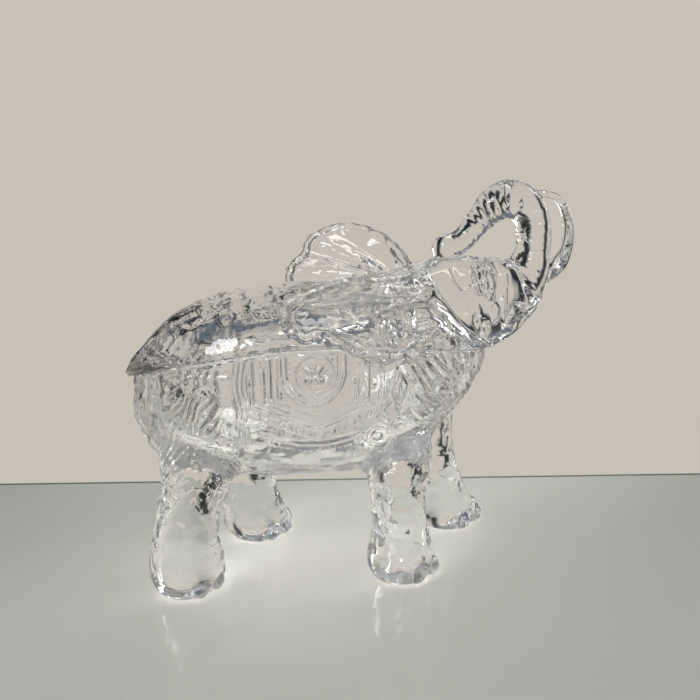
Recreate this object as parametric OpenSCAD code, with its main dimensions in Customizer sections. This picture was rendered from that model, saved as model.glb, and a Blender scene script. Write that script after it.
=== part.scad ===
// Covered dish in the shape of a walking elephant, pressed in clear glass.
// Two castings: the base (bowl, legs, chest, tail) and the lid (back, head, ears, trunk, tusks).
// Millimetres, +X towards the head, +Z up, standing on z = 0.

/* [Body] */
// Half of the width over the flanks
flank = 46; // [42:1:50]
// X of the widest place of the body
waist_x = -20; // [-24:1:-16]
// Height of the highest place of the seam between bowl and lid
seam_top = 122; // [120:1:124]
// Height of the underside of the belly
belly_z = 52; // [48:1:55]
// Thickness of the glass in the bowl's sides
wall = 6.5; // [5:0.5:8]
// Thickness of the glass under the bowl's floor
floor_wall = 9; // [7:1:12]

/* [Lid] */
// Thickness of the glass in the lid's sides and roof
lid_wall = 9; // [7:0.5:10]
// Gap between rim and lid, all along the seam
seam_gap = 0.25; // [0.15:0.05:0.4]
// Depth of the lip that drops inside the rim
lip_depth = 3.5; // [2.5:0.5:5]
// Thickness of the lip
lip_wall = 3; // [2.5:0.5:4]
// Clearance between the lip and the inside of the bowl
lip_gap = 0.6; // [0.4:0.1:1]

/* [Ears] */
// Thickness of the ear's blade
ear_blade = 4; // [3:0.5:5]
// Thickness of the rolled edge
ear_rim = 6.2; // [5:0.2:7]

/* [Legs] */
// Distance from the middle plane to the middle of a foot
track = 27; // [25:1:29]
// How far the far pair of feet stands ahead of the near pair
stride = 35; // [28:1:38]
// Part of the stride that is lost at the hip
hip_lag = 0.5; // [0.4:0.05:0.6]
// How far the hips lean in towards the body
hip_lean = 7; // [5:1:8]

/* [Relief] */
// How far the blanket's borders stand out of the flank
relief = 0.9; // [0.4:0.1:1.5]

/* [Hidden] */

glass = "lightsteelblue";
ring_sides = 56;
ball_sides = 16;
leg_sides = 28;
ear_sides = 10;
egg_sides = 28;
rear_bow = 0.0024;
front_bow = 0.0017;
rear_round = 2.4;
front_round = 2.0;
far = 400;

// Levels of the bowl: height, rear end, front end, half width
bowl_levels = [
    [belly_z, -56, 8, flank - 33],
    [54, -68, 18, flank - 25],
    [58, -82, 27, flank - 18],
    [64, -93, 35, flank - 12],
    [72, -98, 44, flank - 6.5],
    [82, -102, 53, flank - 3],
    [92, -104, 60, flank - 1],
    [104, -104, 65, flank],
    [126, -103, 68, flank]
];

// Levels of the lid's dome: height, rear end, front end, half width
dome_levels = [
    [98, -109.6, 69, flank + 1],
    [103.5, -109, 69, flank + 1],
    [108, -106, 69, flank + 1],
    [114, -101, 67, flank + 1],
    [120, -95.5, 64, flank + 0.5],
    [126.5, -88.5, 60, flank - 2],
    [131, -81.5, 56, flank - 5.5],
    [134.5, -73.5, 52, flank - 10],
    [137.2, -64.5, 48, flank - 16],
    [139.2, -55, 44, flank - 22.5],
    [140.8, -46, 38, flank - 30],
    [141.6, -39, 30, flank - 37]
];

// Egg-shaped balls of neck, skull, jaw and the pocket inside the neck: x, z, half length, width, height
neck_eggs = [[4, 118, 34, 34, 26], [44, 129, 22, 25, 23]];
skull_eggs = [[50, 130, 24, 25, 23.4], [69, 132, 19, 20, 21]];
jaw_eggs = [[52, 124, 22, 23, 20], [69, 125, 15, 16, 15], [77, 131, 11, 13, 13]];
pocket_eggs = [[0, 112, 26, 27, 24], [27, 116, 18, 19, 18]];
// Lower lip and tail: x, z, radius
lip_path = [[74, 118.6, 6.2], [81, 123.8, 5.4], [86.5, 127.6, 4.4], [91.4, 131.2, 3.2]];
lip_swell = 1.3;
tail_path = [
    [-101.8, 99, 2.2], [-103, 91, 2.8], [-103, 82, 3.1], [-100.2, 73.5, 3.4],
    [-96.5, 66.5, 3.4], [-94, 63, 3]
];

// Trunk from the face up, over the top and down to its tip: x, z, radius
trunk_path = [
    [82, 134, 12], [87.5, 146, 10], [89.4, 154, 8.6], [89.9, 161, 8.2], [89.2, 168, 8.2],
    [86.6, 174.8, 8.5], [81.4, 179.6, 9], [74.8, 180.8, 9], [68.4, 177.2, 7.8],
    [62.4, 170.6, 6.3], [57, 164, 5.6], [51.6, 159.6, 5.6], [45.6, 157.8, 5.6]
];

// Tusk from the mouth out and up to the top of the trunk: x, z, radius
tusk_path = [
    [86, 136, 3.6], [92.5, 140, 2.6], [98.6, 143.4, 2.4], [101.8, 147.4, 3.4], [105.2, 153, 2.6],
    [107, 160, 2.3], [106.9, 167, 2], [105.2, 173.6, 1.7], [102, 179, 1.6], [96.6, 182, 1.6],
    [89, 182.6, 2]
];
trunk_swell = 1.05;
tusk_side = 2.2;
tusk_swell = 1.25;

// Edge of each ear from the top of its root, over the tip, to the bottom of its root: x, |y|, z
near_ear = [
    [26, 21, 148], [14, 37, 150], [-3, 55, 152.5], [-17, 59, 151], [-27, 54, 147],
    [-32.5, 49, 140.5], [-31.5, 47, 132.5], [-25, 48.5, 129], [-13, 51.5, 128.6],
    [-4, 50.5, 123.6], [7, 47.5, 118.6], [19, 44, 117.2], [28, 38, 118.8], [34, 31, 121.5]
];
far_ear = [
    [33, 22, 145.5], [28.5, 33, 152.5], [20, 46, 159], [8, 58, 161.7], [-4, 62, 160.2],
    [-15, 58.5, 155.8], [-19.3, 54, 149], [-24.5, 51, 142.5], [-27.3, 48.5, 135.5],
    [-25, 47, 129.5], [-13, 50, 127.5], [-3, 50, 122.8], [8, 47.5, 118.5], [22, 42.5, 117.4],
    [34, 31, 121.5]
];
ear_root_top = [35, 18, 143];
ear_root_bottom = [41, 24, 123];
ear_bulge_top = [-2, 3, 0];
ear_bulge_bottom = [-2, 6, 4];

// Walls of the hollows: where the lid's roof starts to close and over what height, its wall at
// the front and sides, how far the lip's root reaches up, and the height the bowl's floor blends in
roof_from = 120;
roof_rise = 24;
front_wall = 6;
lid_side = lid_wall / 2 + 1;
lip_root = 3;
floor_blend = 40;

rear_foot_x = -84;
front_foot_x = 20;
// Legs from the hip down to the sole: x, z, half length, half width
rear_leg = [
    [-75, 78, 17, 12], [-75, 66, 18, 15], [-77, 54, 16, 15.5], [-80.6, 42, 14.6, 14.5],
    [-83, 30, 15.4, 14.2], [-83.6, 20, 16.8, 15], [-83.8, 12, 17.3, 15.4], [-84, 6, 16.4, 14.8],
    [-84, 2, 14.2, 13], [-84, 0, 11.6, 10.8]
];
front_leg = [
    [18, 86, 15, 11], [18.6, 74, 17.5, 14], [18.6, 60, 16, 15], [18.8, 46, 13.2, 13.8],
    [19.4, 32, 12.6, 13], [20, 22, 14, 13.6], [20, 12, 16.2, 15], [20, 6, 16, 14.8],
    [20, 2, 14, 13], [20, 0, 11.8, 11]
];

// Toes: angles round the front of the foot, reach along and across it, height and size
toe_angles = [-60, -21, 21, 60];
toe_reach = [14.4, 13];
toe_z = 6.6;
toe_r = 4;
toe_tall = 1.25;
toe_sides = 12;

hip_z = 80;
knee_z = 45;
sole_step = 0.01;

// Blanket on the flank: its edges, the point of its lower border and the shield on it
blanket_left = -46;
blanket_right = 4;
blanket_low = 98;
blanket_point = 83;
blanket_high = 30;
shield = [-18, 111, 16];
// Width of the borders and the step between the double ones
hem = 1.8;
hem_step = 4.5;

// Height of the seam over a place x: two shallow bows that meet at the waist
function seam_z(x) = seam_top - (x < waist_x ? rear_bow : front_bow) * pow(x - waist_x, 2);

// Point at part t of the way from a to b
function between(a, b, t) = a + (b - a) * t;

// Power that keeps the sign
function spow(v, e) = sign(v) * pow(abs(v), e);

// One egg-shaped ring of a level, pulled in by inset
function ring(level, inset) = [
    for (i = [0 : ring_sides - 1])
        let (
            t = 360 * (i + 0.5) / ring_sides,
            e = 2 / (cos(t) < 0 ? rear_round : front_round),
            reach = cos(t) < 0 ? waist_x - level[1] - inset : level[2] - waist_x - inset
        )
        [waist_x + reach * spow(cos(t), e), (level[3] - inset) * spow(sin(t), e), level[0]]
];

// Closed skin over a pile of rings
module stack(levels, inset = 0) {
    rings = [for (level = levels) ring(level, inset)];
    last = len(levels) - 1;
    points = [for (r = rings) each r];
    sides = [
        for (k = [0 : last - 1], i = [0 : ring_sides - 1])
            let (
                a = k * ring_sides + i,
                b = k * ring_sides + (i + 1) % ring_sides,
                c = a + ring_sides,
                d = b + ring_sides
            )
            each [[a, c, b], [b, c, d]]
    ];
    bottom = [for (i = [0 : ring_sides - 1]) i];
    top = [for (i = [ring_sides - 1 : -1 : 0]) last * ring_sides + i];
    polyhedron(points, concat(sides, [bottom, top]));
}

// Everything below the seam, moved up by lift
module below_seam(lift = 0) {
    curve = [for (x = [-130 : 5 : 130]) [x, seam_z(x) + lift]];
    rotate([90, 0, 0])
        linear_extrude(height = far, center = true)
            polygon(concat([[130, -far], [-130, -far]], curve));
}

// Row of hulls through balls: path of [x, z, radius] beside the middle plane
module limb(path, y = 0, swell = 1) {
    for (i = [0 : len(path) - 2])
        hull()
            for (p = [path[i], path[i + 1]])
                translate([p[0], y, p[1]])
                    scale([1, swell, 1])
                        sphere(r = p[2], $fn = ball_sides);
}

// Leg as a row of hulls through flat ellipses; the hip follows only part of the foot's shift
module leg(path, shift, side) {
    for (i = [0 : len(path) - 2])
        hull()
            for (p = [path[i], path[i + 1]])
                translate([
                    p[0] + shift * (1 - hip_lag * p[1] / hip_z),
                    side * (track - hip_lean * max(0, (p[1] - knee_z) / (hip_z - knee_z))),
                    p[1]
                ])
                    scale([p[2], p[3], 1])
                        cylinder(r = 1, h = sole_step, $fn = leg_sides);
}

// Half-round toenails along the front of a foot
module toes(x, side) {
    for (a = toe_angles)
        translate([x + toe_reach[0] * cos(a), side * track + toe_reach[1] * sin(a), toe_z])
            scale([1, 1, toe_tall])
                sphere(r = toe_r, $fn = toe_sides);
}

// Outline of the blanket's borders and shield, seen from the side
module blanket_outline() {
    middle = (blanket_left + blanket_right) / 2;
    left = blanket_left - hem / 2;
    right = blanket_right + hem / 2;
    for (x = [blanket_left, blanket_left + hem_step, blanket_right - hem_step, blanket_right])
        translate([x - hem / 2, blanket_low])
            square([hem, blanket_high]);
    for (drop = [0, hem_step])
        polygon([
            [left, blanket_low - drop + hem], [middle, blanket_point - drop + hem],
            [right, blanket_low - drop + hem], [right, blanket_low - drop],
            [middle, blanket_point - drop], [left, blanket_low - drop]
        ]);
    translate([shield[0], shield[1]])
        difference() {
            circle(r = shield[2]);
            circle(r = shield[2] - hem);
        }
}

// Relief on both flanks: the outline cut out of a slightly thicker bowl
module blanket() {
    intersection() {
        stack(bowl_levels, -relief);
        rotate([90, 0, 0])
            linear_extrude(height = far, center = true)
                blanket_outline();
        below_seam(-1);
    }
}

// Space inside the bowl, open at the top
module bowl_hollow() {
    levels = [
        for (i = [0 : len(bowl_levels) - 1])
            let (l = bowl_levels[i])
            [l[0] + floor_wall * max(0, 1 - (l[0] - belly_z) / floor_blend), l[1], l[2], l[3]]
    ];
    stack(levels, wall);
}

// Tail lying against the rump
module tail() {
    limb(tail_path);
}

module base() {
    color(glass)
        difference() {
            union() {
                intersection() {
                    stack(bowl_levels);
                    below_seam();
                }
                blanket();
                tail();
                leg(rear_leg, 0, -1);
                leg(front_leg, 0, -1);
                leg(rear_leg, stride, 1);
                leg(front_leg, stride, 1);
                for (x = [rear_foot_x, front_foot_x]) {
                    toes(x, -1);
                    toes(x + stride, 1);
                }
            }
            bowl_hollow();
        }
}

// Dome of the back down to the seam
module back() {
    difference() {
        stack(dome_levels);
        below_seam(seam_gap);
    }
}

// Neck and head as hulls of egg-shaped balls: x, z, half length, half width, half height
module eggs(list) {
    hull()
        for (e = list)
            translate([e[0], 0, e[1]])
                scale([e[2], e[3], e[4]])
                    sphere(r = 1, $fn = egg_sides);
}

module head() {
    difference() {
        union() {
            eggs(neck_eggs);
            eggs(skull_eggs);
            eggs(jaw_eggs);
        }
        below_seam(seam_gap);
    }
    limb(lip_path, 0, lip_swell);
}

// Balls of one size at each point of a list
module balls(list, size) {
    for (p = list)
        translate(p)
            sphere(d = size, $fn = ear_sides);
}

// Fan-shaped ear between its root, a bulge half way along the blade and its rolled edge
module ear(edge, side) {
    count = len(edge) - 1;
    root = [for (i = [0 : count]) between(ear_root_top, ear_root_bottom, i / count)];
    half_way = [
        for (i = [0 : count])
            (edge[i] + root[i]) / 2 + between(ear_bulge_top, ear_bulge_bottom, i / count)
    ];
    scale([1, side, 1])
        for (i = [0 : count - 1]) {
            hull()
                balls([root[i], root[i + 1], half_way[i], half_way[i + 1]], ear_blade);
            hull() {
                balls([half_way[i], half_way[i + 1]], ear_blade);
                balls([edge[i], edge[i + 1]], ear_rim);
            }
        }
}

// Room that the lid leaves round the rim of the bowl
module base_room() {
    intersection() {
        stack(bowl_levels, -relief - lip_gap);
        below_seam(seam_gap);
    }
}

// Lip that stands down inside the rim of the bowl
module lip() {
    intersection() {
        difference() {
            stack(bowl_levels, wall + lip_gap);
            stack(bowl_levels, wall + lip_gap + lip_wall);
            below_seam(-lip_depth);
        }
        below_seam(lip_root);
    }
}

// Space under the lid: the dome's own shape pulled in, and a pocket that runs into the neck
module lid_hollow() {
    levels = [
        for (l = dome_levels)
            let (roof = max(0, (l[0] - roof_from) / roof_rise))
            [l[0] - lid_wall * roof, l[1] + lid_wall, l[2] - front_wall, l[3]]
    ];
    stack(levels, lid_side);
}

module neck_hollow() {
    eggs(pocket_eggs);
}

module lid() {
    color(glass) {
        difference() {
            union() {
                back();
                head();
                ear(near_ear, -1);
                ear(far_ear, 1);
                limb(trunk_path, 0, trunk_swell);
                limb(tusk_path, -tusk_side, tusk_swell);
                limb(tusk_path, tusk_side, tusk_swell);
            }
            base_room();
            lid_hollow();
            neck_hollow();
        }
        lip();
    }
}

base();
lid();
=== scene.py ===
import bpy
import numpy as np
import openvdb
from mathutils import Matrix


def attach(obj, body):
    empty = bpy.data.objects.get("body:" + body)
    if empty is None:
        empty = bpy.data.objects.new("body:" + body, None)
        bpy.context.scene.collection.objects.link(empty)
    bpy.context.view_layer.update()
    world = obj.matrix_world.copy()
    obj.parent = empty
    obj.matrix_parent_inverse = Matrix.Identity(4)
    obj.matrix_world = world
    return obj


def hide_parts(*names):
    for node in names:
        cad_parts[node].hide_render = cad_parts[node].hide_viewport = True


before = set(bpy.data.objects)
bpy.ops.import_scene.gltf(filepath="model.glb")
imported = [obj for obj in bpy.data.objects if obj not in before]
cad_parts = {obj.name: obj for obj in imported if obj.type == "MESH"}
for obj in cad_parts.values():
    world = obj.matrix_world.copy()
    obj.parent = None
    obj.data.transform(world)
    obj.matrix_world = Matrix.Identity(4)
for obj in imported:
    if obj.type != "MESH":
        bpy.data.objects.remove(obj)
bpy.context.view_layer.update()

# ---------------------------------------------------------------------------------------------
# Studio: a pale glass-topped shelf in a plain warm room, with large soft lamps above and beside
# it, and the camera a hand's breadth above the trunk on the right flank.

MM = 0.001
SHELF_BACK = [(-136.4, 108.9), (152.3, 78.0)]
SHELF_REACH = 1400.0
SHELF_FRONT = -900.0
SHELF_THICK = 6.0
WALL_COLOUR = "#c8c1b6"
SHELF_COLOUR = "#d5d4cb"
EDGE_COLOUR = "#6f8277"
EDGE_WIDE = 2.2
EDGE_LIFT = 0.05


def linear(colour):
    """Linear RGBA of an sRGB hex colour: the lower end divided by 12.92, the rest to power 2.4."""
    c = np.array([int(colour[i:i + 2], 16) for i in (1, 3, 5)]) / 255
    c = np.where(c <= 0.04045, c / 12.92, ((c + 0.055) / 1.055) ** 2.4)
    return (*c.tolist(), 1.0)


def node(tree, kind, settings=None, inputs=None, links=None):
    """Adds a node with its settings, its sockets' values and the sockets that feed it."""
    new = tree.nodes.new(kind)
    for name, value in (settings or {}).items():
        setattr(new, name, value)
    for name, value in (inputs or {}).items():
        new.inputs[name].default_value = value
    for name, source in (links or {}).items():
        tree.links.new(source, new.inputs[name])
    return new


def piece(name, points, faces, finish, smooth=True):
    """Object at the origin from points in mm and a list of arrays of faces, each of one width."""
    mesh = bpy.data.meshes.new(name)
    corners = np.concatenate([np.asarray(f).ravel() for f in faces]).astype(np.int32)
    widths = np.concatenate([np.full(len(f), len(f[0])) for f in faces])
    mesh.vertices.add(len(points))
    mesh.vertices.foreach_set("co", (np.asarray(points) * MM).astype(np.float32).ravel())
    mesh.loops.add(len(corners))
    mesh.loops.foreach_set("vertex_index", corners)
    mesh.polygons.add(len(widths))
    mesh.polygons.foreach_set("loop_start", (np.cumsum(widths) - widths).astype(np.int32))
    mesh.polygons.foreach_set("use_smooth", np.full(len(widths), smooth))
    mesh.update(calc_edges=True)
    mesh.validate()
    mesh.materials.append(finish)
    new = bpy.data.objects.new(name, mesh)
    bpy.context.scene.collection.objects.link(new)
    return new


def shelf_finish(name, colour, roughness):
    """Painted board under a sheet of float glass: flat colour with a clear gloss."""
    made = bpy.data.materials.new(name)
    made.use_nodes = True
    made.node_tree.nodes.clear()
    shader = node(made.node_tree, "ShaderNodeBsdfPrincipled", inputs={
        "Base Color": linear(colour), "Roughness": roughness, "IOR": 1.5})
    node(made.node_tree, "ShaderNodeOutputMaterial", links={"Surface": shader.outputs[0]})
    return made


# The shelf's back edge runs a little askew to the dish; both long edges follow that line.
(ax, ay), (bx, by) = SHELF_BACK
slope = (by - ay) / (bx - ax)
left, right = ax - SHELF_REACH, bx + SHELF_REACH
back_left, back_right = ay - slope * SHELF_REACH, by + slope * SHELF_REACH
top = [(left, SHELF_FRONT, 0), (right, SHELF_FRONT, 0), (right, back_right, 0), (left, back_left, 0)]
low = [(px, py, -SHELF_THICK) for px, py, pz in top]
shelf = piece("shelf", top, [[(0, 1, 2, 3)]], shelf_finish("glossed_board", SHELF_COLOUR, 0.1), False)
strip = [(left, back_left - EDGE_WIDE, EDGE_LIFT), (right, back_right - EDGE_WIDE, EDGE_LIFT),
         (right, back_right, EDGE_LIFT), (left, back_left, EDGE_LIFT)]
shelf_edge = piece(
    "shelf_edge", top + low + strip,
    [[(0, 4, 5, 1), (1, 5, 6, 2), (2, 6, 7, 3), (3, 7, 4, 0), (7, 6, 5, 4), (8, 9, 10, 11)]],
    shelf_finish("green_glass_edge", EDGE_COLOUR, 0.3), False)

CAMERA_AT = (-0.045, -0.423, 0.226)
CAMERA_YAW = np.radians(-6.0)
CAMERA_PITCH = np.radians(90.0 - 15.4)
CAMERA_ROLL = np.radians(-0.9)
SENSOR = 36.0
LENS = SENSOR * 9 / 7

camera_data = bpy.data.cameras.new("camera")
camera_data.lens = LENS
camera_data.sensor_width = SENSOR
camera_data.clip_start = 0.01
camera = bpy.data.objects.new("camera", camera_data)
camera.matrix_world = (
    Matrix.Translation(CAMERA_AT) @ Matrix.Rotation(CAMERA_YAW, 4, "Z")
    @ Matrix.Rotation(CAMERA_PITCH, 4, "X") @ Matrix.Rotation(CAMERA_ROLL, 4, "Z"))
bpy.context.scene.collection.objects.link(camera)
bpy.context.scene.camera = camera


def lamp(name, place, target, size, watts, colour="#ffffff"):
    """Square soft lamp at place that looks at target."""
    data = bpy.data.lights.new(name, "AREA")
    data.shape = "RECTANGLE"
    data.size, data.size_y = size
    data.energy = watts
    data.color = linear(colour)[:3]
    new = bpy.data.objects.new(name, data)
    forward = np.array(target, float) - place
    forward /= np.linalg.norm(forward)
    side = np.cross(forward, (0, 0, 1))
    side /= np.linalg.norm(side)
    up = np.cross(side, forward)
    new.matrix_world = Matrix(np.vstack([
        np.column_stack([side, up, -forward, place]), (0, 0, 0, 1)]).tolist())
    bpy.context.scene.collection.objects.link(new)
    return new


# The wall is plain to the eye; what the glass bends in from the sides is a ring of dark flags
# and a grey-blue roof, as a studio has for glass.
FLAGS = 7
FLAG_TURN = np.pi - FLAGS * np.radians(6.0)
# How far into a flag its colours start, from the gap between two flags (-1) to its middle (1)
FLAG_SHADES = [(0.3, WALL_COLOUR), (0.75, "#7b7c7e"), (0.86, "#33363b"), (0.93, "#0c0d0f")]
ROOF_COLOUR = "#5d646f"
# Between these sines of the height over the skyline the walls turn into the roof
ROOF_FROM, ROOF_TO = 0.3, 0.5
BOUNCES = 32
# Paths that turn inside the glass more often than this only make it milky
GLOSS_BOUNCES = 8

lamps = [
    lamp("window", (-0.9, -0.9, 1.1), (0, 0, 0.1), (0.45, 0.5), 8, "#f6faff"),
    lamp("ceiling", (0.2, 0.1, 1.5), (0, 0, 0.1), (0.9, 0.3), 5, "#fffaf2"),
    lamp("side", (1.2, 0.5, 0.6), (0, 0, 0.1), (0.25, 0.9), 4, "#ffffff")]

world = bpy.data.worlds.new("room")
bpy.context.scene.world = world
world.use_nodes = True
tree = world.node_tree
tree.nodes.clear()
way = node(tree, "ShaderNodeTexCoord")
parts = node(tree, "ShaderNodeSeparateXYZ", links={0: way.outputs["Generated"]})
turn = node(tree, "ShaderNodeMath", {"operation": "ARCTAN2"},
            links={0: parts.outputs[0], 1: parts.outputs[1]})
turns = node(tree, "ShaderNodeMath", {"operation": "MULTIPLY_ADD"},
             {1: float(FLAGS), 2: FLAG_TURN}, {0: turn.outputs[0]})
wave = node(tree, "ShaderNodeMath", {"operation": "COSINE"}, links={0: turns.outputs[0]})
walls = node(tree, "ShaderNodeValToRGB", links={0: wave.outputs[0]})
for stop, (place, shade) in enumerate(FLAG_SHADES):
    if stop > 1:
        walls.color_ramp.elements.new(place)
    walls.color_ramp.elements[stop].position = place
    walls.color_ramp.elements[stop].color = linear(shade)
roof = node(tree, "ShaderNodeMapRange", {"interpolation_type": "SMOOTHSTEP"},
            {1: ROOF_FROM, 2: ROOF_TO}, {0: parts.outputs[2]})
bent = node(tree, "ShaderNodeMix", {"data_type": "RGBA"},
            {7: linear(ROOF_COLOUR)}, {0: roof.outputs[0], 6: walls.outputs[0]})
ray = node(tree, "ShaderNodeLightPath")
seen = node(tree, "ShaderNodeMix", {"data_type": "RGBA"},
            {7: linear(WALL_COLOUR)}, {0: ray.outputs["Is Camera Ray"], 6: bent.outputs[2]})
plain = node(tree, "ShaderNodeBackground", inputs={"Strength": 1.0}, links={"Color": seen.outputs[2]})
node(tree, "ShaderNodeOutputWorld", links={"Surface": plain.outputs[0]})
bpy.context.scene.view_settings.view_transform = "Standard"
cycles = bpy.context.scene.cycles
cycles.max_bounces = BOUNCES
cycles.transmission_bounces = BOUNCES
cycles.transparent_max_bounces = BOUNCES
cycles.glossy_bounces = GLOSS_BOUNCES

# ---------------------------------------------------------------------------------------------
# Base: one casting of pressed crystal glass, the bowl of the body with its four legs, the chest
# and the tail. It is pressed in a split mould and fire-polished, so its edges are all soft.

BASE_BOX = (-114, -52, -3), (80, 52, 126)
BASE_GRIT = 1.3
BAND = 9
WAIST_X = -20.0
SEAM_TOP = 122.0
REAR_BOW = 0.0024
FRONT_BOW = 0.0017
WALL = 6.5
FLOOR_WALL = 9.0
FLOOR_BLEND = 40
BELLY = 52.0
STRIDE = 35.0
HIP_LAG = 0.5
HIP_Z = 80.0
LEG_FILLET = 5.0
TOE_FILLET = 1.4
TAIL_FILLET = 1.5
HOLLOW_EDGE = 1.0
SEAM_EDGE = 0.8
SOLE_EDGE = 0.5
# The flank's relief, between these places and heights, is pressed into a skin of half the grit
FINE_X = (-86, 52)
FINE_Z = (72, 120)

# Levels of the bowl: height, rear end, front end, half width
BOWL_LEVELS = [
    (52, -56, 8, 13), (54, -68, 18, 21), (58, -82, 27, 28), (64, -93, 35, 34), (72, -98, 44, 39.5),
    (82, -102, 53, 43), (92, -104, 60, 45), (104, -104, 65, 46), (126, -103, 68, 46)]
# Legs from the hip down to the sole: x, y from the middle plane, z, half length, half width
REAR_LEG = [
    (-75, 20, 82, 12, 9), (-75, 21, 74, 17.5, 14), (-75, 23, 64, 18, 15.5),
    (-77, 25, 53, 16, 15.5), (-80.6, 27, 42, 14.6, 14.5), (-83, 27, 30, 15.4, 14.2),
    (-83.6, 27, 20, 16.8, 15), (-83.6, 27, 13, 17.3, 15.4), (-84, 27, 7, 16.6, 15),
    (-84, 27, 3, 14.8, 13.6), (-84, 27, 1, 13, 12), (-84, 27, 0, 11.4, 10.6)]
FRONT_LEG = [
    (17, 19, 88, 10, 8), (18, 21, 80, 16, 12), (18.6, 23, 68, 16.6, 14.5), (18.6, 25, 56, 15, 14.6),
    (18.8, 27, 44, 13, 13.6), (19.4, 27, 32, 12.6, 12.8), (20, 27, 22, 14, 13.6),
    (20, 27, 13, 16.2, 15), (20, 27, 7, 16.4, 15), (20, 27, 3, 14.8, 13.6),
    (20, 27, 1, 13.2, 12.2), (20, 27, 0, 11.6, 10.8)]
# Toes: the angle round the front of a foot, the reach along and across it, and the height
TOES = [(-62, 13.4, 12.6, 6), (-22, 15, 13, 7), (22, 15, 13, 7), (62, 13.4, 12.6, 6)]
TOE_SIZE = (4.2, 3.8, 5.2)
# Tail: x, y, z, radius
TAIL = [
    (-100.8, 0, 102, 1.6), (-101.8, 0, 99, 2.2), (-103, 0, 91, 2.8), (-103, 0, 82, 3.1),
    (-100.2, 0, 73.5, 3.4), (-96.5, 0, 66.5, 3.4), (-93, 0, 62, 2.6)]


def smooth_line(knots, count):
    """Catmull-Rom line through the knots, which are rows of any width, as count rows."""
    k = np.asarray(knots, float)
    k = np.vstack([2 * k[0] - k[1], k, 2 * k[-1] - k[-2]])
    t = np.linspace(0, len(knots) - 1, count)
    i = np.minimum(t.astype(int), len(knots) - 2)
    f = (t - i)[:, None]
    a, b, c, d = k[i], k[i + 1], k[i + 2], k[i + 3]
    return b + 0.5 * f * (c - a + f * (2 * a - 5 * b + 4 * c - d + f * (3 * (b - c) + d - a)))


def skin(rings):
    """Closed skin over rings[n, m, 3]: quads between neighbours, and a fan on each end."""
    n, m = rings.shape[:2]
    k, i = np.meshgrid(np.arange(n - 1), np.arange(m), indexing="ij")
    a = k * m + i
    b = k * m + (i + 1) % m
    quads = np.stack([a, b, b + m, a + m], -1).reshape(-1, 4)
    points = np.vstack([rings.reshape(-1, 3), rings[0].mean(0), rings[-1].mean(0)])
    i = np.arange(m)
    j = (i + 1) % m
    low = np.stack([np.full(m, n * m), j, i], -1)
    high = np.stack([np.full(m, n * m + 1), i + (n - 1) * m, j + (n - 1) * m], -1)
    return points, np.vstack([low, high]), quads


class Melt:
    """Signed distance in mm, on a grid of voxels of grit mm, to the skin of one casting."""

    def __init__(self, low, high, grit):
        self.grit = grit
        self.low = np.floor(np.array(low) / grit).astype(int)
        self.shape = tuple(np.ceil(np.array(high) / grit).astype(int) - self.low)
        self.field = np.full(self.shape, BAND * grit, np.float32)

    def axes(self):
        """x, y and z in mm as three arrays that broadcast over the grid."""
        lines = [(self.low[a] + np.arange(self.shape[a])) * self.grit for a in range(3)]
        return np.meshgrid(*lines, indexing="ij", sparse=True)

    def pour(self, body):
        """Distance to one closed skin."""
        points, triangles, quads = body
        grid = openvdb.FloatGrid.createLevelSetFromPolygons(
            points.astype(np.float32), triangles=triangles.astype(np.uint32),
            quads=quads.astype(np.uint32),
            transform=openvdb.createLinearTransform(voxelSize=self.grit), halfWidth=float(BAND))
        out = np.empty(self.shape, np.float32)
        grid.copyToArray(out, ijk=tuple(int(v) for v in self.low))
        return out

    def add(self, other, soft=0.01):
        """Union with another distance, with a fillet of about soft mm."""
        h = np.maximum(soft - np.abs(self.field - other), 0) / soft
        self.field = np.minimum(self.field, other) - h * h * soft / 4

    def cut(self, other, soft=0.01):
        """Takes another solid away, with a rounded edge of about soft mm."""
        other = -other
        h = np.maximum(soft - np.abs(self.field - other), 0) / soft
        self.field = np.maximum(self.field, other) + h * h * soft / 4

    def surface(self):
        """Points and faces of the skin of the casting."""
        grid = openvdb.FloatGrid(BAND * self.grit)
        grid.transform = openvdb.createLinearTransform(voxelSize=self.grit)
        grid.copyFromArray(self.field.astype(np.float32), ijk=tuple(int(v) for v in self.low))
        points, quads = grid.convertToQuads(0.0)
        return points.astype(float), quads.astype(int)

    def read(self, field, points):
        """Field at the points, straight between the eight voxels round each one."""
        at = points / self.grit - self.low
        at = np.clip(at, 0, np.array(self.shape) - 1.001)
        i = at.astype(int)
        f = at - i
        total = 0
        for a in (0, 1):
            for b in (0, 1):
                for c in (0, 1):
                    share = (abs(1 - a - f[:, 0]) * abs(1 - b - f[:, 1]) * abs(1 - c - f[:, 2]))
                    total = total + share * field[i[:, 0] + a, i[:, 1] + b, i[:, 2] + c]
        return total


def seam_height(x):
    """Seam over the place x: two shallow bows that meet at the waist."""
    return SEAM_TOP - np.where(x < WAIST_X, REAR_BOW, FRONT_BOW) * (x - WAIST_X) ** 2


def signed_power(v, e):
    """Power that keeps the sign."""
    return np.sign(v) * np.abs(v) ** e


def egg_rings(levels, inset=0.0, count=60, around=120):
    """Rings over levels of (height, rear, front, half width): superellipses about the waist,
    squarer at the tail (power 2.4) than at the chest (2.0), pulled in by inset."""
    z, rear, front, half = smooth_line(levels, count).T[:, :, None]
    t = np.linspace(0, 2 * np.pi, around, endpoint=False)
    e = 2 / np.where(np.cos(t) < 0, 2.4, 2.0)
    reach = np.where(np.cos(t) < 0, WAIST_X - rear - inset, front - WAIST_X - inset)
    x = WAIST_X + reach * signed_power(np.cos(t), e)
    y = (half - inset) * signed_power(np.sin(t), e)
    return np.stack([x, y, np.broadcast_to(z, x.shape)], -1)


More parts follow.
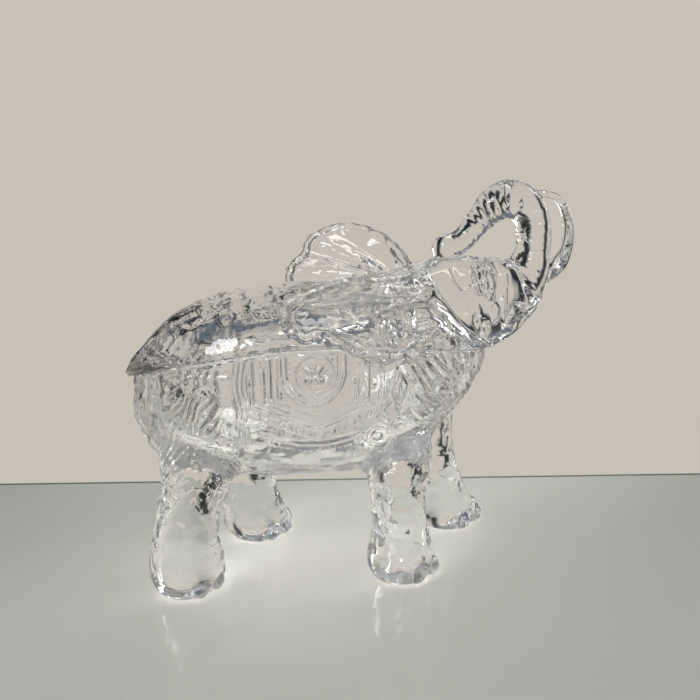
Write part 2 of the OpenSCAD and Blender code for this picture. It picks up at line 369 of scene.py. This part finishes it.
def leg_rings(stations, shift, side, count=56, around=64):
    """Leg as rings round a line from hip to sole; the hip follows only part of the foot's shift."""
    x, y, z, long, wide = smooth_line(stations, count).T[:, :, None]
    t = np.linspace(0, 2 * np.pi, around, endpoint=False)
    x = x + shift * (1 - HIP_LAG * z / HIP_Z) + long * np.cos(t)
    y = side * y + wide * np.sin(t)
    return np.stack([x, y, np.broadcast_to(z, x.shape)], -1)[::-1]


def tube_rings(stations, count, around=32, swell=1.0, dents=None):
    """Rings square to a line of (x, y, z, radius) in the plane of x and z, wider across by
    swell, with both ends closed by a half ball. dents(length along, angle) scales the radius;
    the angle is a quarter turn on the left of the line and minus a quarter turn on its right."""
    line = smooth_line(stations, count)
    p, r = line[:, :3], line[:, 3:4]
    along = np.gradient(p, axis=0)
    along /= np.linalg.norm(along, axis=1, keepdims=True)
    a = np.linspace(0.03, 0.5 * np.pi, 6)[:-1, None]
    head = np.hstack([p[0] - along[0] * r[0] * np.cos(a), r[0] * np.sin(a)])
    tail = np.hstack([p[-1] + along[-1] * r[-1] * np.cos(a), r[-1] * np.sin(a)])[::-1]
    p = np.vstack([head[:, :3], p, tail[:, :3]])
    r = np.vstack([head[:, 3:], r, tail[:, 3:]])[:, :, None]
    along = np.vstack([np.repeat(along[:1], 5, 0), along, np.repeat(along[-1:], 5, 0)])
    side = np.array([0.0, 1.0, 0.0])
    up = np.cross(along, side)
    t = np.linspace(0, 2 * np.pi, around, endpoint=False)[None, :, None]
    if dents is not None:
        run = np.append(0, np.cumsum(np.linalg.norm(np.diff(p, axis=0), axis=1)))
        r = r * dents(run[:, None, None], t)
    return p[:, None] + r * (np.cos(t) * swell * side - np.sin(t) * up[:, None])


def ball_rings(x, y, z, long, wide, high, around=48):
    """Egg-shaped ball as rings from bottom to top."""
    v = np.linspace(-0.5 * np.pi, 0.5 * np.pi, around // 2 + 1)[1:-1, None]
    t = np.linspace(0, 2 * np.pi, around, endpoint=False)
    px = x + long * np.cos(v) * np.cos(t)
    py = y + wide * np.cos(v) * np.sin(t)
    return np.stack([px, py, np.broadcast_to(z + high * np.sin(v), px.shape)], -1)


def volume(body):
    """Signed volume of a closed skin: above zero when its faces look outwards."""
    points, triangles, quads = body
    faces = np.vstack([triangles, quads[:, [0, 1, 2]], quads[:, [0, 2, 3]]])
    a, b, c = points[faces].transpose(1, 0, 2)
    return float(np.einsum("ij,ij->i", a, np.cross(b, c)).sum() / 6)


def outward(points, *faces):
    """Unit normals at the points, from the first and third corners of the faces round each one
    and the second and last."""
    total = np.zeros_like(points)
    for f in faces:
        across = np.cross(points[f[:, 2]] - points[f[:, 0]], points[f[:, -1]] - points[f[:, 1]])
        for k in range(f.shape[1]):
            for axis in range(3):
                total[:, axis] += np.bincount(f[:, k], across[:, axis], len(points))
    return total / np.maximum(np.linalg.norm(total, axis=1, keepdims=True), 1e-9)


def finer(melt, points, quads, chosen):
    """Splits the chosen quads in four, and gives their neighbours the new points on the shared
    edges; the new points are drawn onto the skin of the melt. Returns points and faces by width."""
    pairs = np.stack([quads, np.roll(quads, -1, 1)], -1)
    edges, which = np.unique(np.sort(pairs.reshape(-1, 2), 1), axis=0, return_inverse=True)
    which = which.reshape(-1, 4)
    split = np.zeros(len(edges), bool)
    split[which[chosen].ravel()] = True
    middle = len(points) + np.cumsum(split) - 1
    centre = len(points) + split.sum() + np.arange(chosen.sum())
    new = np.vstack([points[edges[split]].mean(1), points[quads[chosen]].mean(1)])
    q, m = quads[chosen], middle[which[chosen]]
    fours = [np.stack([q[:, k], m[:, k], centre, m[:, k - 1]], 1) for k in range(4)]
    rest, cuts, mids = quads[~chosen], split[which[~chosen]], middle[which[~chosen]]
    faces = [np.vstack(fours + [rest[~cuts.any(1)]])]
    for code in range(1, 16):
        ways = np.array([bool(code >> k & 1) for k in range(4)])
        here = (cuts == ways).all(1)
        if here.any():
            columns = []
            for k in range(4):
                columns.append(rest[here, k])
                if ways[k]:
                    columns.append(mids[here, k])
            faces.append(np.stack(columns, 1))
    step = 0.5 * melt.grit
    slopes = np.stack([melt.read(melt.field, new + step * way) - melt.read(melt.field, new - step * way)
                       for way in np.eye(3)], 1)
    slopes /= np.maximum(np.linalg.norm(slopes, axis=1, keepdims=True), 1e-6)
    new = new - slopes * melt.read(melt.field, new)[:, None]
    return np.vstack([points, new]), faces


def shoulder(value, low, high):
    """Soft step from 0 at low to 1 at high."""
    t = np.clip((value - low) / (high - low), 0, 1)
    return t * t * (3 - 2 * t)


def window(value, rise, fall):
    """1 from the end of the rise to the start of the fall, with a soft step down to 0 at each."""
    return shoulder(value, *rise) * (1 - shoulder(value, *fall))


def strokes(points, lines, width, height):
    """Relief of rounded ridges: height times exp(-(distance / width) squared) from the nearest
    of the straight lines (x0, z0, x1, z1), seen from the side."""
    lines = np.asarray(lines, float)
    p = points[:, None, [0, 2]]
    a, d = lines[None, :, :2], lines[None, :, 2:] - lines[None, :, :2]
    t = np.clip(((p - a) * d).sum(2) / (d * d).sum(2), 0, 1)[..., None]
    near = np.linalg.norm(p - a - t * d, axis=2).min(1)
    return height * np.exp(-((near / width) ** 2))


def ripple(points, length, seed):
    """Smooth random field within about 1: waves of about the given length, in directions and
    phases drawn from the seed."""
    draw = np.random.default_rng(seed)
    way = draw.normal(size=(14, 3))
    way *= (2 * np.pi / length * draw.uniform(0.6, 1.5, (14, 1))) / np.linalg.norm(
        way, axis=1, keepdims=True)
    return np.cos(points @ way.T + draw.uniform(0, 2 * np.pi, 14)).sum(1) / 5.3


base = Melt(*BASE_BOX, BASE_GRIT)
x, y, z = base.axes()
base.add(base.pour(skin(egg_rings(BOWL_LEVELS))))
for side, shift in ((-1, 0.0), (1, STRIDE)):
    for leg in (REAR_LEG, FRONT_LEG):
        base.add(base.pour(skin(leg_rings(leg, shift, side))), LEG_FILLET)
    for leg in (REAR_LEG, FRONT_LEG):
        foot_x, foot_y = leg[-1][0] + shift, leg[-1][1] * side
        for angle, along, across, height in TOES:
            a = np.radians(angle)
            toe_x, toe_y = foot_x + along * np.cos(a), foot_y + across * np.sin(a)
            toe = ball_rings(toe_x, toe_y, height, *TOE_SIZE, 24)
            base.add(base.pour(skin(toe)), TOE_FILLET)
base.add(base.pour(skin(tube_rings(TAIL, 40))), TAIL_FILLET)
hollow_levels = [
    (max(h, BELLY) + FLOOR_WALL * max(0, 1 - (h - BELLY) / FLOOR_BLEND), r, f, w)
    for h, r, f, w in BOWL_LEVELS]
base_hollow = base.pour(skin(egg_rings(hollow_levels, WALL)))
base.cut(base_hollow, HOLLOW_EDGE)
base.cut(seam_height(x) - z + 0 * y, SEAM_EDGE)
base.cut(z + 0 * x + 0 * y, SOLE_EDGE)
base_points, base_quads = base.surface()
flank = np.abs(outward(base_points, base_quads)[:, 1]) > 0.6
outside = base.read(base_hollow, base_points) > 3
px, py, pz = base_points.T
fine = (pz > FINE_Z[0]) & (pz < FINE_Z[1]) & (px > FINE_X[0]) & (px < FINE_X[1])
chosen = (flank & outside & fine)[base_quads].any(1)
base_points, base_faces = finer(base, base_points, base_quads, chosen)

# Pressed relief of the flanks: a blanket with stepped chevrons, ribs, a shield with a flower and
# a row of beads, the strap over the rump, and short strokes of hair on the thighs and the chest.
CHEVRON = [(-49.5, 97), (-20, 84), (6, 95)]
# Upright ribs and the harness, as lines from x, z to x, z
RIBS = [(-49, 97, -49, 125), (-43.9, 99, -43.9, 125), (-41.2, 99.5, -41.2, 125),
        (-36.8, 101, -36.8, 125), (2.3, 96, 2.3, 125), (9.3, 97, 9.3, 125), (-2.4, 97, -2.4, 109)]
STRAP = [(-86, 109.6, -59, 110.4), (-82, 107, -80.5, 114), (-78.6, 107, -77.4, 112.6),
         (-74, 107.4, -72.8, 112), (-70, 108, -68.8, 112.4), (-65.4, 108, -64.6, 112.6)]
ROSETTE = [(14.2, 99, 17, 112), (17, 112, 21.6, 102.4), (21.6, 102.4, 18, 93), (18, 93, 14.2, 99)]
TASSELS = [(24, 116, 34, 101), (28, 117, 37.5, 104), (32, 117, 41, 107), (24, 111, 32, 98),
           (38, 114, 46, 100), (44, 112, 50, 103), (26, 97, 36, 86), (31, 96, 42, 88), (22, 90, 30, 80)]
# Studs: x, z, radius, height
STUDS = [(38.5, 97.7, 4.6, 1.6), (48.5, 106.5, 2.2, 1.4), (7.6, 77.9, 5.0, 1.2), (18.1, 82.0, 3.2, 1.0)]
SHIELD_MIDDLE = (-22.2, 111.5)
SHIELD_HALF = 14
SHIELD_DEEP = 14.5
SHIELD_POWER = 1.8
FLOWER_MIDDLE = (-21.6, 111)
# Distance from one pad, bead, thread, hair, lock and fold to the next
PAD_STEP = 4.7
BEAD_STEP = 2.6
FRINGE_STEP = 2.2
HAIR_STEP = 3.1
LOCK_STEP = 3.4
FOLD_STEP = 5.6
# Where the patterns rise and where they fall again, lengthwise or in height
BLANKET_X = (-51, -49.5), (9.5, 11)
BORDERS_X = (-46.5, -45), (1.5, 3)
BORDER_DROPS = (3.4, 6.0)
HEM_X = (-48, -44), (2, 6)
BEADS_X = (-44, -40), (-2, 2)
FRINGE_X = (-58.5, -57), (-51.5, -50.5)
RUMP_Z = (36, 48), (96, 104)
THIGH_X = (-10, 2), (36, 44)
THIGH_Z = (44, 52), (70, 78)
FOLDS_Z = (8, 16), (44, 58)


def drape(points, drop):
    """Height over the blanket's lower border, which is two straight slopes with a point."""
    border = np.interp(points[:, 0], [c[0] for c in CHEVRON], [c[1] for c in CHEVRON])
    return (points[:, 2] - border - drop) * 0.915


def band(value, width):
    """1 where value is 0, falling as a bell to both sides of it."""
    return np.exp(-((value / width) ** 2))


def blanket(points):
    """Height of the blanket's relief in mm, from the place seen from the side."""
    px, pz = points[:, 0], points[:, 2]
    on = window(px, *BLANKET_X)
    inside = window(px, *BORDERS_X)
    total = 1.1 * band(drape(points, 0), 0.9) * on
    for drop in BORDER_DROPS:
        total += 0.9 * band(drape(points, drop), 0.75) * inside
    total = np.maximum(total, strokes(points, RIBS, 0.8, 1.0))
    dx = (px - SHIELD_MIDDLE[0]) / SHIELD_HALF
    dz = np.minimum(pz - SHIELD_MIDDLE[1], 0) / SHIELD_DEEP
    size = (np.abs(dx) ** SHIELD_POWER + np.abs(dz) ** SHIELD_POWER) ** (1 / SHIELD_POWER)
    total = np.maximum(total, 1.4 * band((size - 1) * SHIELD_HALF, 0.8))
    total = np.maximum(total, 1.1 * band((size - 0.86) * SHIELD_HALF, 0.65))
    fx, fz = px - FLOWER_MIDDLE[0], pz - FLOWER_MIDDLE[1]
    far = np.hypot(fx, fz)
    petal = np.abs(np.sin(2 * np.arctan2(fz, fx)))
    leaf = np.clip(petal * 3.4 - 0.55 * far, 0, 1.5) * shoulder(far, 0.5, 2.0)
    total += 1.25 * leaf + 0.9 * band(far - 8.6, 0.6)
    pads = drape(points, -3.0)
    puffs = np.abs(np.cos(np.pi * px / PAD_STEP)) ** 0.7
    total += 1.1 * shoulder(2.1 - np.abs(pads), 0, 1.1) * on * puffs
    lower = pz - (77.2 + 0.0095 * (px + 20) ** 2)
    total += 0.9 * band(lower, 0.8) * window(px, *HEM_X)
    beads = 0.5 + 0.5 * np.cos(2 * np.pi * px / BEAD_STEP)
    total += 0.8 * band(lower + 3.2, 1.0) * beads * window(px, *BEADS_X)
    fringe = window(px, *FRINGE_X) * shoulder(pz, 74, 79)
    total += 0.8 * fringe * (0.5 + 0.5 * np.cos(2 * np.pi * (px + 0.8 * np.sin(pz / 4)) / FRINGE_STEP))
    return total


def harness(points):
    """Strap over the rump with its ticks, and rosette, tassels and studs on the chest."""
    total = strokes(points, STRAP + ROSETTE + TASSELS, 0.9, 1.1)
    for mx, mz, r, h in STUDS:
        far = np.hypot(points[:, 0] - mx, points[:, 2] - mz)
        total += h * (1 - shoulder(far, 0.55 * r, r)) + 0.6 * band(far - r * 1.15, 0.5)
    return total


def hair(points):
    """Slanted strokes of hair on rump, thighs and chest: sharp waves square to the strokes,
    broken up along them."""
    px, py, pz = points.T
    rump = shoulder(-px, 58, 68) * window(pz, *RUMP_Z)
    chest = shoulder(px, 30, 40) * shoulder(pz, 56, 66)
    thigh = window(px, *THIGH_X) * window(pz, *THIGH_Z)
    slant = 0.86 * px - 0.5 * pz + 0.35 * np.abs(py)
    broken = 0.55 + 0.45 * ripple(points, 9, 5)
    hairs = np.abs(np.sin(np.pi * slant / HAIR_STEP + 1.3 * ripple(points, 16, 3)))
    locks = np.abs(np.sin(np.pi * (0.8 * px + 0.6 * pz) / LOCK_STEP + 1.2 * ripple(points, 14, 8)))
    return broken * (rump * 1.2 * hairs + chest * 0.9 * locks + thigh * 1.3 * hairs)


def hide(points):
    """Upright folds and lumps of the hide on the legs, strongest half way down."""
    px, py, pz = points.T
    slant = px + 0.35 * py + 0.25 * pz
    folds = np.abs(np.sin(np.pi * slant / FOLD_STEP + 1.8 * ripple(points, 17, 6)))
    broken = 0.6 + 0.4 * ripple(points, 11, 9)
    return window(pz, *FOLDS_Z) * (0.6 * folds * broken + 0.3 * ripple(points, 7, 7))


def dress(melt, points, faces, hollow, relief):
    """Moves the outer skin along its normals by relief(points, normals); the hollow, the sole
    and the faces of the seam stay as they are."""
    normals = outward(points, *faces)
    outer = shoulder(melt.read(hollow, points), 2.0, 4.5)
    return points + normals * (relief(points, normals) * outer)[:, None]


def base_relief(points, normals):
    """Flank patterns where the skin looks sideways, hair where it grows, and ripples all over."""
    flank = shoulder(np.abs(normals[:, 1]), 0.45, 0.75) * shoulder(points[:, 2], 64, 70)
    edge = shoulder(seam_height(points[:, 0]) - points[:, 2], 1.2, 2.6)
    stand = shoulder(points[:, 2], 1.0, 5.0)
    pattern = flank * (blanket(points) + harness(points)) + hair(points) + hide(points)
    return edge * stand * (pattern + 0.45 * ripple(points, 13, 1) + 0.12 * ripple(points, 5, 2))


base_points = dress(base, base_points, base_faces, base_hollow, base_relief)

glass = bpy.data.materials.new("crystal_glass")
glass.use_nodes = True
tree = glass.node_tree
tree.nodes.clear()
glass_shader = node(tree, "ShaderNodeBsdfPrincipled", inputs={
    "Base Color": linear("#ffffff"), "Roughness": 0.0, "IOR": 1.52, "Transmission Weight": 1.0})
node(tree, "ShaderNodeOutputMaterial", links={"Surface": glass_shader.outputs[0]})

# The room's light comes through clear glass, so neither casting darkens the shelf as a solid would
base_casting = piece("base_casting", base_points, base_faces, glass)
base_casting.visible_shadow = False
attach(base_casting, "base")
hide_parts("base")

# ---------------------------------------------------------------------------------------------
# Lid: the second casting, the back with the head, ears, raised trunk and tusks. It is pressed
# of the same glass, hollow under the back, and a short lip keeps it inside the rim of the bowl.

LID_BOX = (-114, -74, 98), (114, 74, 194)
LID_GRIT = 1.05
SEAM_GAP = 0.25
LIP_DEPTH = 3.5
LIP_ROOT = 3
LIP_WALL = 3.0
LIP_GAP = 0.6
ROOM = 1.5
# Hollow: walls at the tail and in front, the height from which the roof closes and over which
LID_WALL = 9.0
FRONT_WALL = 6
LID_SIDE = LID_WALL / 2 + 1
DOME_FROM = 120
DOME_RISE = 24
HOLLOW_BLEND = 9.0
NECK_FILLET = 5.0
HEAD_FILLET = 3.0
BLADE = 3.6
BLADE_FILLET = 1.2
ROLL_FILLET = 0.4
TIP_FILLET = 2.0
CORNER_FILLET = 1.2
TUSK_FILLET = 0.8
RIM_EDGE = 0.4
LIP_FILLET = 0.6
CREASE = 0.43

# Levels of the back: height, rear end, front end, half width
DOME_LEVELS = [
    (98, -109.3, 69, 47), (103.5, -108.7, 69, 47), (108, -106, 69, 47), (114, -101, 67, 47),
    (120, -95.5, 64, 46.5), (126.5, -88.5, 60, 44), (131, -81.5, 56, 40.5), (134.5, -73.5, 52, 36),
    (137.2, -64.5, 48, 30), (139.2, -55, 44, 23.5), (140.8, -46, 38, 16), (141.6, -39, 30, 9)]
# Neck, skull, jaw, lower lip and the pocket in the neck: x, y, z, radius, how much wider across
NECK = [(-10, 0, 116, 21, 1.3), (8, 0, 118.5, 25.5, 1.3), (26, 0, 123.5, 24.6, 1.2),
        (44, 0, 129, 23, 1.09)]
SKULL = [(42, 0, 129, 22.4, 1.09), (50, 0, 130, 23.2, 1.08), (60, 0, 131, 22.4, 1.04),
         (69, 0, 132, 20.6, 0.97)]
JAW = [(50, 0, 123.5, 20, 1.15), (60, 0, 123.6, 18, 1.08), (69, 0, 125.1, 15, 1.0),
       (76, 0, 130.5, 12.5, 0.9)]
LOWER_LIP = [(72, 0, 117.5, 6.6, 1), (80, 0, 123.2, 5.6, 1), (86, 0, 127.4, 4.6, 1),
             (91.4, 0, 131.2, 3.2, 1)]
NECK_POCKET = [(-6, 0, 112, 24, 1.1), (8, 0, 114, 23, 1.05), (20, 0, 116, 21, 1.05),
               (27, 0, 116, 18, 1.0)]
# Trunk and tusk: x, y, z, radius
TRUNK = [
    (82, 0, 134, 12), (87.5, 0, 146, 10), (89.4, 0, 154, 8.6), (89.9, 0, 161, 8.2),
    (89.2, 0, 168, 8.2), (86.6, 0, 174.8, 8.5), (81.4, 0, 179.4, 8.8), (74.8, 0, 180.5, 8.7),
    (68.4, 0, 177.2, 7.8), (62.4, 0, 170.6, 6.3), (57, 0, 164, 5.6), (51.6, 0, 159.6, 5.6),
    (45.6, 0, 157.8, 5.6)]
TUSK = [
    (86, 0, 136, 3.6), (92.5, 0, 140, 2.6), (98.6, 0, 143.4, 2.4), (101.8, 0, 147.4, 3.4),
    (105.2, 0, 153, 2.6), (106.9, 0, 160, 2.1), (106.8, 0, 167, 1.9), (105.2, 0, 173.6, 1.7),
    (102, 0, 179, 1.6), (96.6, 0, 182, 1.6), (89, 0, 182.6, 2)]
TUSK_Y = 2.2
# Balls at the trunk's tip, at the roots of the tusks and at the corners of the lip: x, |y|, z,
# half length, half width, half height
TRUNK_TIP = (46, 0, 158, 5, 5.4, 5.6)
TUSK_ROOT = (81, 9.5, 138.5, 3.6, 3.4, 6.5)
LIP_CORNER = (92, 3.4, 132.6, 2.4, 2.6, 3.0)
WRINKLE_STEP = 3.4
# Edge of each ear from the top of its root, over the tip, to the bottom of its root: x, |y|, z
NEAR_EAR = [
    (26, 21, 148), (14, 37, 150), (-3, 54.5, 152.5), (-17, 58, 151), (-27, 54, 147),
    (-32.5, 51, 141), (-31.5, 50, 133.2), (-25, 51, 129.6), (-13, 53.5, 129),
    (-4, 52.5, 124), (7, 50, 119), (19, 46, 117.6), (28, 39, 119), (34, 31, 121.5)]
FAR_EAR = [
    (33, 22, 145.5), (28.5, 33, 152.5), (20, 46, 159), (8, 58, 161.7), (-4, 62, 160.2),
    (-15, 58.5, 155.8), (-19.3, 54, 149), (-24.5, 51, 142.5), (-27.3, 48.5, 135.5),
    (-25, 47, 129.5), (-13, 50, 127.5), (-3, 50, 122.8), (8, 47.5, 118.5), (22, 42.5, 117.4),
    (34, 31, 121.5)]
EAR_ROOT = [(35, 18, 143), (41, 24, 123)]
EAR_BULGE = [(-2, 3, 0), (-2, 6, 4)]
# Ears: edge, side, depth of the crease, radius of the rolled edge above and below
EARS = [(NEAR_EAR, -1, 0.0, 3.0, 3.2), (FAR_EAR, 1, 1.0, 1.7, 2.4)]


def tapered(stations, count=24, around=64):
    """Tube through stations that also say how much wider than high it is."""
    rings = tube_rings([s[:4] for s in stations], count, around)
    swell = smooth_line(stations, count)[:, 4]
    swell = np.concatenate([np.repeat(swell[:1], 5), swell, np.repeat(swell[-1:], 5)])
    rings[:, :, 1] *= swell[:, None]
    return rings


def trunk_dents(run, angle):
    """Wrinkles across the inner half of the trunk, broken up into beads."""
    inner = shoulder(-np.sin(angle), -0.55, 0.2)
    wander = 0.9 * np.sin(run / 5.0) + 1.1 * np.sin(3 * angle)
    wave = np.abs(np.sin(np.pi * run / WRINKLE_STEP + wander))
    beads = np.abs(np.sin(2.5 * angle + 0.7 * np.sin(run / 2.7)))
    return 1 + inner * (0.22 * wave + 0.12 * beads - 0.22)


def ear_sheet(outline, side, crease, count=90, steps=26):
    """Middle surface of an ear: u runs along the edge and v from the root out to it. The sheet
    is a parabola between root and edge, creased at one place of u and pleated across v."""
    u = np.linspace(0, 1, count)[:, None]
    v = np.linspace(0, 1, steps)[None, :, None]
    edge = smooth_line(outline, count)
    root = np.array(EAR_ROOT[0]) * (1 - u) + np.array(EAR_ROOT[1]) * u
    bulge = np.array(EAR_BULGE[0]) * (1 - u) + np.array(EAR_BULGE[1]) * u
    sheet = root[:, None] * (1 - v) + edge[:, None] * v + 4 * v * (1 - v) * bulge[:, None]
    sheet[:, :, 1] *= side
    du, dv = np.gradient(sheet, axis=0), np.gradient(sheet, axis=1)
    normal = np.cross(dv, du) * side
    normal /= np.maximum(np.linalg.norm(normal, axis=2, keepdims=True), 1e-9)
    u = u[:, :, None]
    fold = -4.6 * np.exp(-np.abs(u - CREASE) / 0.04) + 4.0 * np.exp(-(((u - 0.53) / 0.06) ** 2))
    pleats = (0.3 + 0.5 * crease) * np.cos(2 * np.pi * u * 8 + 2.2 * v) * np.sin(np.pi * v) ** 0.6
    curl = 0.8 * np.cos(2 * np.pi * u * 11 + 1.0) * v ** 4 * shoulder(u, 0.25, 0.5)
    return sheet + normal * (crease * shoulder(v, 0.1, 0.6) * fold + pleats + curl), normal


def ear_rings(sheet, normal, blade, rim):
    """Blade with the given thickness, and the rolled edge as a tube along the sheet's rim."""
    v = np.linspace(0, 1, sheet.shape[1])[None, :, None]
    half = blade / 2 * np.sqrt(1 - 0.98 * v ** 6)
    loop = np.concatenate([sheet + normal * half, (sheet - normal * half)[:, ::-1]], axis=1)
    middle = sheet[:, -1]
    along = np.gradient(middle, axis=0)
    along /= np.linalg.norm(along, axis=1, keepdims=True)
    up = normal[:, -1]
    out = np.cross(along, up)
    t = np.linspace(0, 2 * np.pi, 40, endpoint=False)[None, :, None]
    streaks = 1 + 0.13 * np.cos(6 * t + 0.35 * np.arange(len(rim))[:, None, None])
    round_rim = np.cos(t) * up[:, None] + np.sin(t) * out[:, None]
    return loop, middle[:, None] + rim[:, None, None] * streaks * round_rim


def facing_out(rings):
    """Closed skin of the rings with its faces outwards."""
    body = skin(rings)
    return body if volume(body) > 0 else skin(rings[::-1])


lid = Melt(*LID_BOX, LID_GRIT)
x, y, z = lid.axes()
lid.add(lid.pour(skin(egg_rings(DOME_LEVELS))))
lid.add(lid.pour(facing_out(tapered(NECK))), NECK_FILLET)
for stations in (SKULL, JAW, LOWER_LIP):
    lid.add(lid.pour(facing_out(tapered(stations))), HEAD_FILLET)
lid.cut(z - seam_height(x) - SEAM_GAP + 0 * y, SEAM_EDGE)
for outline, side, crease, top_rim, low_rim in EARS:
    sheet, normal = ear_sheet(outline, side, crease)
    u = np.linspace(0, 1, len(sheet))
    rim = top_rim + (low_rim - top_rim) * shoulder(u, 0.3, 0.5) + 0.25 * np.cos(2 * np.pi * u * 23)
    blade, roll = ear_rings(sheet, normal, BLADE, rim)
    lid.add(lid.pour(facing_out(blade)), BLADE_FILLET)
    lid.add(lid.pour(facing_out(roll)), ROLL_FILLET)
lid.add(lid.pour(facing_out(tube_rings(TRUNK, 160, 48, 1.05, trunk_dents))), HEAD_FILLET)
lid.add(lid.pour(skin(ball_rings(*TRUNK_TIP, 24))), TIP_FILLET)
for side in (-1, 1):
    for (bx, by, bz, *size), fillet in ((TUSK_ROOT, TIP_FILLET), (LIP_CORNER, CORNER_FILLET)):
        lid.add(lid.pour(skin(ball_rings(bx, side * by, bz, *size, 24))), fillet)
for side in (-1, 1):
    tusk = [(px, side * TUSK_Y, pz, r) for px, py, pz, r in TUSK]
    lid.add(lid.pour(facing_out(tube_rings(tusk, 80, 24, 1.25))), TUSK_FILLET)
above_bowl = lid.pour(skin(egg_rings(BOWL_LEVELS, -ROOM)))
above_bowl = np.maximum(above_bowl, z - seam_height(x) - SEAM_GAP)
lid.cut(above_bowl, RIM_EDGE)
lid_levels = [
    (h - max(0, LID_WALL * (h - DOME_FROM) / DOME_RISE), r + LID_WALL, f - FRONT_WALL, w)
    for h, r, f, w in DOME_LEVELS]
lid_hollow = lid.pour(skin(egg_rings(lid_levels, LID_SIDE)))
neck_hollow = lid.pour(facing_out(tapered(NECK_POCKET)))
meet = np.maximum(HOLLOW_BLEND - np.abs(lid_hollow - neck_hollow), 0) / HOLLOW_BLEND
lid_hollow = np.minimum(lid_hollow, neck_hollow) - meet ** 2 * HOLLOW_BLEND / 4
lid.cut(lid_hollow, HOLLOW_EDGE)
lip = lid.pour(skin(egg_rings(BOWL_LEVELS, WALL + LIP_GAP)))
lip = np.maximum(lip, -lid.pour(skin(egg_rings(BOWL_LEVELS, WALL + LIP_GAP + LIP_WALL))))
lip_middle = seam_height(x) + 0.5 * (LIP_ROOT - LIP_DEPTH)
lip = np.maximum(lip, np.abs(z - lip_middle) - 0.5 * (LIP_ROOT + LIP_DEPTH))
lid.add(lip, LIP_FILLET)
lid_points, lid_quads = lid.surface()

# The face in relief. Brow, upper eyelid, mouth and cheek: lines from x, z to x, z
BROW = [(46.5, 153.5, 47.5, 145.7), (47.5, 145.7, 50.2, 142.1), (50.2, 142.1, 53.3, 144.0),
        (53.3, 144.0, 57, 144.5)]
LID_ARC = [(56.8, 145.6, 57.6, 149.4), (57.6, 149.4, 60.2, 151.6), (60.2, 151.6, 63.7, 150.6),
           (63.7, 150.6, 66, 147.5)]
# Eye: x, z, half length, half height
EYE = (61.2, 142.6, 3.2, 4.6)
MOUTH = [(72.6, 124.6, 76.1, 125.6), (76.1, 125.6, 81.5, 126.4), (81.5, 126.4, 88, 130)]
CHEEK = [(72, 146, 71, 138), (71, 138, 70.2, 129), (61, 124.6, 62.3, 120), (62.3, 120, 60.4, 114.6)]
# Dents below zero and folds above it: x, z, half length, half height, depth
CHEEK_DENTS = [(67.5, 138, 3.2, 5.0, -1.6), (66.6, 129, 2.0, 5.4, 1.5), (59.8, 120, 1.8, 4.2, -1.5)]
EAR_DENTS = [(6.5, 134, 2.6, 5.5, -1.5), (11.7, 130, 2.2, 6, -1.4), (23, 133, 2.8, 7, -1.9),
             (16.5, 133, 1.8, 9, 1.1)]
# The back's crinkles: from one to the next, and where they end towards head, flank and ridge
CRINKLE_STEP = 4.6
BACK_END = (18, 28)
BACK_SIDE = (44, 47)
RIDGE_Z = (122, 132)
FACE_X = (38, 44)
FACE_TOP = (152, 156)
EAR_FROM = (24, 30)


def spot(points, x, z, long, high):
    """1 in an upright ellipse seen from the side, falling softly to 0 at its edge."""
    return 1 - shoulder(np.hypot((points[:, 0] - x) / long, (points[:, 2] - z) / high), 0.45, 1.0)


def face(points):
    """Grooves of brow and mouth, the rims of the eyelid, the eye in its socket, and the dents
    and folds of the cheek, in mm from the place seen from the side."""
    ex, ez, long, high = EYE
    size = np.hypot((points[:, 0] - ex) / long, (points[:, 2] - ez) / high)
    total = 1.1 * band((size - 1.25) * long, 0.8) + 0.8 * (1 - shoulder(size, 0.3, 0.7))
    total += strokes(points, LID_ARC, 1.1, 1.4) + strokes(points, CHEEK, 1.0, 1.1)
    total -= strokes(points, BROW, 0.8, 1.1) + strokes(points, MOUTH, 0.9, 1.6)
    for mx, mz, long, high, height in CHEEK_DENTS:
        total += height * spot(points, mx, mz, long, high)
    return total


def lid_relief(points, normals):
    """Crinkles of the back, the strap of the blanket over it, and soft ripples elsewhere."""
    px, py, pz = points.T
    above = shoulder(pz - seam_height(px), 1.5, 4.0)
    back = (1 - shoulder(px, *BACK_END)) * (1 - shoulder(np.abs(py), *BACK_SIDE))
    ridge = shoulder(pz, *RIDGE_Z)
    slant = px + 0.25 * pz
    crinkle = np.abs(np.sin(np.pi * slant / CRINKLE_STEP + 1.6 * ripple(points, 18, 11)))
    pattern = back * (0.08 + 0.26 * ridge) * crinkle * (0.5 + 0.5 * ripple(points, 10, 12))
    sideways = shoulder(np.abs(normals[:, 1]), 0.3, 0.6)
    front = shoulder(px, *FACE_X) * (1 - shoulder(pz, *FACE_TOP)) * sideways
    head = front * shoulder(30 - np.abs(py), 0, 4)
    dents = sum(height * spot(points, *place) for *place, height in EAR_DENTS)
    blade = shoulder(np.abs(py), *EAR_FROM) * dents
    pebbles = back * (1 - ridge) * 0.13 * ripple(points, 4.2, 14)
    return above * (pattern + pebbles + head * face(points) + blade + 0.22 * ripple(points, 14, 13))


lid_points = dress(lid, lid_points, [lid_quads], lid_hollow, lid_relief)
lid_casting = piece("lid_casting", lid_points, [lid_quads], glass)
lid_casting.visible_shadow = False
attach(lid_casting, "lid")
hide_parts("lid")
